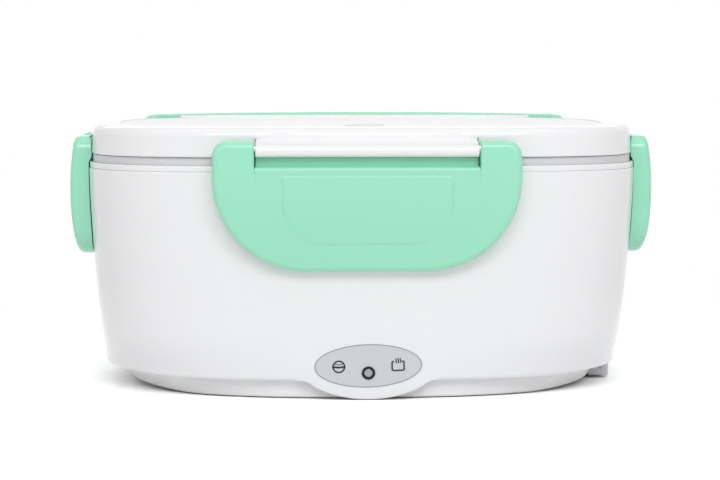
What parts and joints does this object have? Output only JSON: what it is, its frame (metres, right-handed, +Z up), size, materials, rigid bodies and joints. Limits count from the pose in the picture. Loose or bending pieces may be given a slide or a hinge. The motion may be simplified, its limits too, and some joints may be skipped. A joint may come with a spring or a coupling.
{
  "type": "electric lunch box",
  "caption": "Heated lunch box: tapered shell, lift-off lid held by snap latches on every side, folding bail handle, steel food container over a heating plate.",
  "frame": {"origin": "on the surface that the box stands on, under the middle of its bounding box", "axes": "+Z up; the front, with the label and the wide latch, faces -Y; +X runs to the right seen from the front, along the longest side"},
  "size_m": [0.2568, 0.1908, 0.1147],
  "materials": {
    "white_gloss": "glossy moulded white",
    "tub_white": "satin heat-resistant white",
    "base_white": "satin moulded white",
    "tray_white": "satin food-grade white",
    "mint_gloss": "glossy moulded mint green",
    "panel_grey": "satin pale grey",
    "liner_grey": "satin mid grey",
    "label_grey": "satin printed grey label",
    "lens_grey": "glossy unlit lens",
    "black_plastic": "glossy black",
    "dark_plastic": "matt dark grey moulding",
    "seal_grey": "soft grey silicone",
    "seal_white": "soft milky silicone",
    "foot_rubber": "matt grey rubber",
    "container_steel": "brushed stainless",
    "plate_aluminium": "cast and turned",
    "plain_steel": "zinc plated",
    "pin_brass": "turned",
    "heater_ceramic": "matt ceramic in a thin case",
    "insulation": "mica and fibre sleeve",
    "board_green": "solder mask",
    "wire_red": "silicone wire jacket"
  },
  "bodies": {
    "base": {"outer_shell": "white_gloss", "tub_collar": "white_gloss", "inner_tub": "tub_white", "heating_plate": "plate_aluminium", "ptc_heaters": "heater_ceramic", "mica_sheet": "insulation", "heater_clamp": "plain_steel", "clamp_screws": "plain_steel", "thermostat": "black_plastic", "thermal_fuse": "insulation", "circuit_board": "board_green", "internal_wires": "wire_red", "indicator_label": "label_grey", "led_bezel": "black_plastic", "led_lens": "lens_grey", "base_cover": "base_white", "base_screws": "plain_steel", "rubber_feet": "foot_rubber", "inlet_housing": "dark_plastic", "inlet_pins": "pin_brass", "inlet_hinge_pin": "plain_steel"},
    "inlet_flap": {"inlet_cover": "seal_grey"},
    "container": {"food_container": "container_steel"},
    "tray": {"side_tray": "tray_white"},
    "lid": {"lid_cover": "white_gloss", "lid_panel": "panel_grey", "lid_liner": "liner_grey", "lid_gasket": "seal_white", "vent_seat": "seal_grey", "latch_pins": "plain_steel", "handle_pins": "plain_steel"},
    "vent": {"vent_plug": "seal_white"},
    "front_latch": {"latch_front": "mint_gloss"},
    "rear_latch": {"latch_rear": "mint_gloss"},
    "left_latch": {"latch_left": "mint_gloss"},
    "right_latch": {"latch_right": "mint_gloss"},
    "handle": {"carry_handle": "mint_gloss"}
  },
  "joints": [
    {"name": "lid_lift", "type": "slide", "parent": "base", "child": "lid", "axis": [0, 0, 1], "range_m": [0, 0.2]},
    {"name": "container_lift", "type": "slide", "parent": "base", "child": "container", "axis": [0, 0, 1], "range_m": [0, 0.09]},
    {"name": "tray_lift", "type": "slide", "parent": "container", "child": "tray", "axis": [0, 0, 1], "range_m": [0, 0.06]},
    {"name": "front_latch_swing", "type": "hinge", "parent": "lid", "child": "front_latch", "pos_m": [0, -0.0883, 0.1037], "axis": [-1, 0, 0], "range_deg": [0, 120]},
    {"name": "rear_latch_swing", "type": "hinge", "parent": "lid", "child": "rear_latch", "pos_m": [0, 0.0883, 0.1037], "axis": [1, 0, 0], "range_deg": [0, 120]},
    {"name": "left_latch_swing", "type": "hinge", "parent": "lid", "child": "left_latch", "pos_m": [-0.1213, 0, 0.1037], "axis": [0, 1, 0], "range_deg": [0, 120]},
    {"name": "right_latch_swing", "type": "hinge", "parent": "lid", "child": "right_latch", "pos_m": [0.1213, 0, 0.1037], "axis": [0, -1, 0], "range_deg": [0, 120]},
    {"name": "handle_swing", "type": "hinge", "parent": "lid", "child": "handle", "pos_m": [0, 0.012, 0.1075], "axis": [1, 0, 0], "range_deg": [0, 95]},
    {"name": "vent_pull", "type": "slide", "parent": "lid", "child": "vent", "axis": [0, 0, 1], "range_m": [0, 0.003]},
    {"name": "inlet_flap_swing", "type": "hinge", "parent": "base", "child": "inlet_flap", "pos_m": [0.1064, 0.0146, 0.0117], "axis": [0, 0, 1], "range_deg": [0, 110]}
  ],
  "couplings": [
    {"joint": "container_lift", "follows": "lid_lift", "ratio": 0.45},
    {"joint": "tray_lift", "follows": "lid_lift", "ratio": 0.3}
  ]
}
